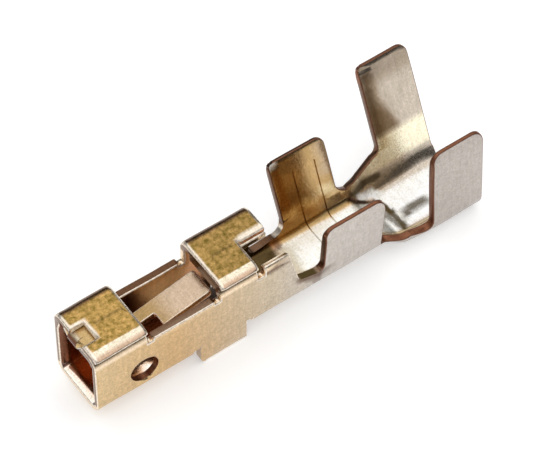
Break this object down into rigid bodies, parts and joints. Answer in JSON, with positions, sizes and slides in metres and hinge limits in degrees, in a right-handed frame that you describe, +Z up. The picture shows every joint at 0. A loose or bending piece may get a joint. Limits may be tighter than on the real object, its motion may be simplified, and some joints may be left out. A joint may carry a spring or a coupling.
{
  "type": "crimp contact",
  "caption": "Socket crimp contact folded from one thin plated strip: lapped square box with a folded-back spring and locking window, then conductor and insulation crimp barrels.",
  "frame": {"origin": "where the axis of the mating pin meets the mating face of the box", "axes": "+X from the mating end to the wire end, +Z up out of the barrels' open side, lap seam on the -Y side"},
  "size_m": [0.011, 0.0034, 0.0032],
  "materials": {
    "plated_strip": "satin"
  },
  "bodies": {
    "root": {"crimp_contact": "plated_strip"}
  },
  "joints": []
}
